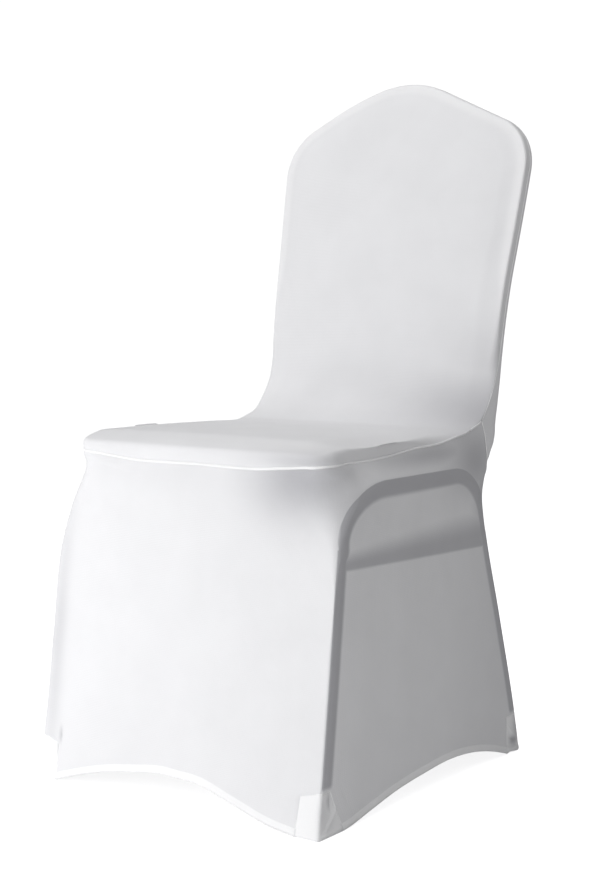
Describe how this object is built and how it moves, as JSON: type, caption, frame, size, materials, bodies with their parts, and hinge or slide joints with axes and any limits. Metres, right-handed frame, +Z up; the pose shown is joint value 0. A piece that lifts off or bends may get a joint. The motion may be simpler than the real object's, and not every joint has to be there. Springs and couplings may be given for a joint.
{
  "type": "stretch banquet chair cover",
  "caption": "Fitted white stretch cover for a crown-back banquet chair, closed over seat and back, with a skirt to the floor, arched hems and foot pockets.",
  "frame": {"origin": "on the floor, under the middle of the cover's width and depth", "axes": "+Z up, +X to the cover's left, -Y to the seat's front"},
  "size_m": [0.4772, 0.556, 0.9513],
  "materials": {
    "seat_and_back_knit": "matte white stretch knit",
    "outside_back_knit": "matte white stretch knit",
    "skirt_knit": "matte white stretch knit",
    "foot_pocket_knit": "matte white stretch knit, doubled"
  },
  "bodies": {
    "root": {"front_panel": "seat_and_back_knit", "back_panel": "outside_back_knit", "skirt": "skirt_knit", "foot_pocket_front_left": "foot_pocket_knit", "foot_pocket_front_right": "foot_pocket_knit", "foot_pocket_rear_left": "foot_pocket_knit", "foot_pocket_rear_right": "foot_pocket_knit"}
  },
  "joints": []
}
